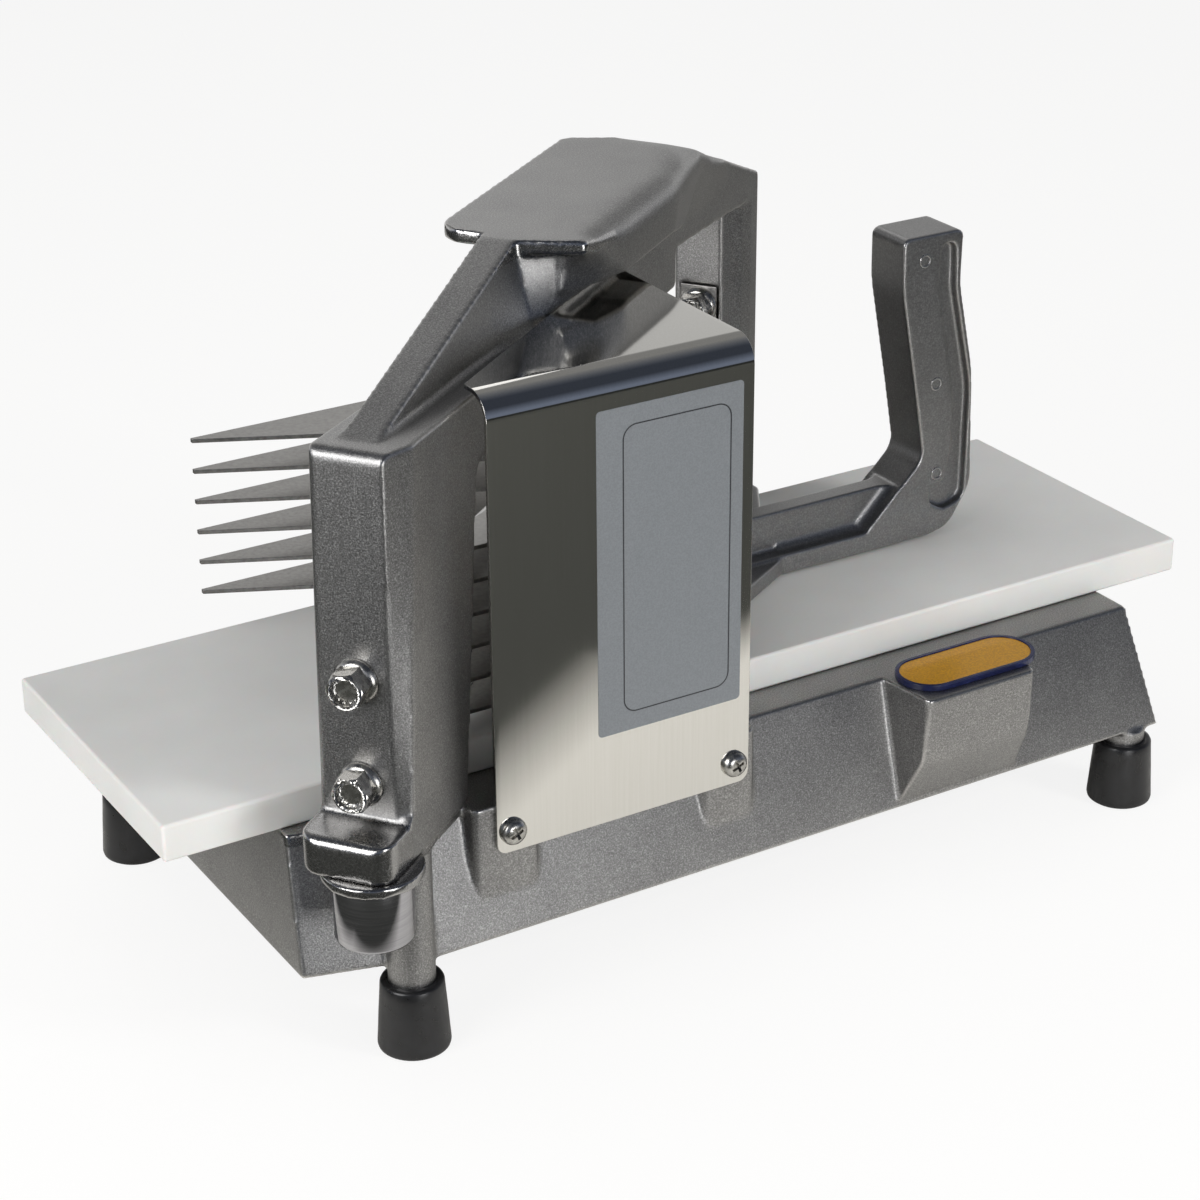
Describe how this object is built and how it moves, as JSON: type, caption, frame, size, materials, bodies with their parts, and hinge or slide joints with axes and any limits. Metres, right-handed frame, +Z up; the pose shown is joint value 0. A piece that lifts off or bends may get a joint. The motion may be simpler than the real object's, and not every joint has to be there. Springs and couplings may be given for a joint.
{
  "type": "tomato slicer",
  "caption": "Push slicer: a stack of notched plates slides along a cutting board and passes between blades held in a diagonal arched frame, with a finger guard.",
  "frame": {"origin": "on the floor, under the middle of the cutting board", "axes": "+X along the board towards the pusher's handle, +Y away from the finger guard, +Z up"},
  "size_m": [0.41, 0.2206, 0.243],
  "materials": {
    "cast_aluminium": "satin, slightly sparkling cast surface",
    "board_plastic": "matt off-white",
    "boot_rubber": "satin black",
    "plate_aluminium": "satin",
    "holder_aluminium": "machined",
    "blade_steel": "ground",
    "guard_steel": "fine brushed",
    "fastener_steel": "bright zinc",
    "badge_enamel": "gold enamel with a dark raised rim",
    "shoe_plastic": "low-friction plastic"
  },
  "bodies": {
    "slicer": {"badge_plate": "badge_enamel", "base_casting": "cast_aluminium", "blade_1": "blade_steel", "blade_2": "blade_steel", "blade_3": "blade_steel", "blade_4": "blade_steel", "blade_5": "blade_steel", "blade_holder_front": "holder_aluminium", "blade_holder_rear": "holder_aluminium", "blade_key_front": "fastener_steel", "blade_key_rear": "fastener_steel", "board_screws": "fastener_steel", "cutting_board": "board_plastic", "feet": "boot_rubber", "finger_guard": "guard_steel", "frame_casting": "cast_aluminium", "frame_clamps": "fastener_steel", "guard_screws": "fastener_steel", "rear_holder_bolt": "fastener_steel", "tension_bolt_lower": "fastener_steel", "tension_bolt_upper": "fastener_steel"},
    "pusher": {"guide_shoe_far": "shoe_plastic", "guide_shoe_near": "shoe_plastic", "plate_spacers": "fastener_steel", "plate_tie_nuts": "fastener_steel", "plate_tie_rods": "fastener_steel", "pusher_casting": "cast_aluminium", "pusher_plate_1": "plate_aluminium", "pusher_plate_2": "plate_aluminium", "pusher_plate_3": "plate_aluminium", "pusher_plate_4": "plate_aluminium", "pusher_plate_5": "plate_aluminium", "pusher_plate_6": "plate_aluminium", "shoe_screws": "fastener_steel"}
  },
  "joints": [
    {"name": "pusher_slide", "type": "slide", "parent": "slicer", "child": "pusher", "axis": [1, 0, 0], "range_m": [0, 0.15]}
  ]
}
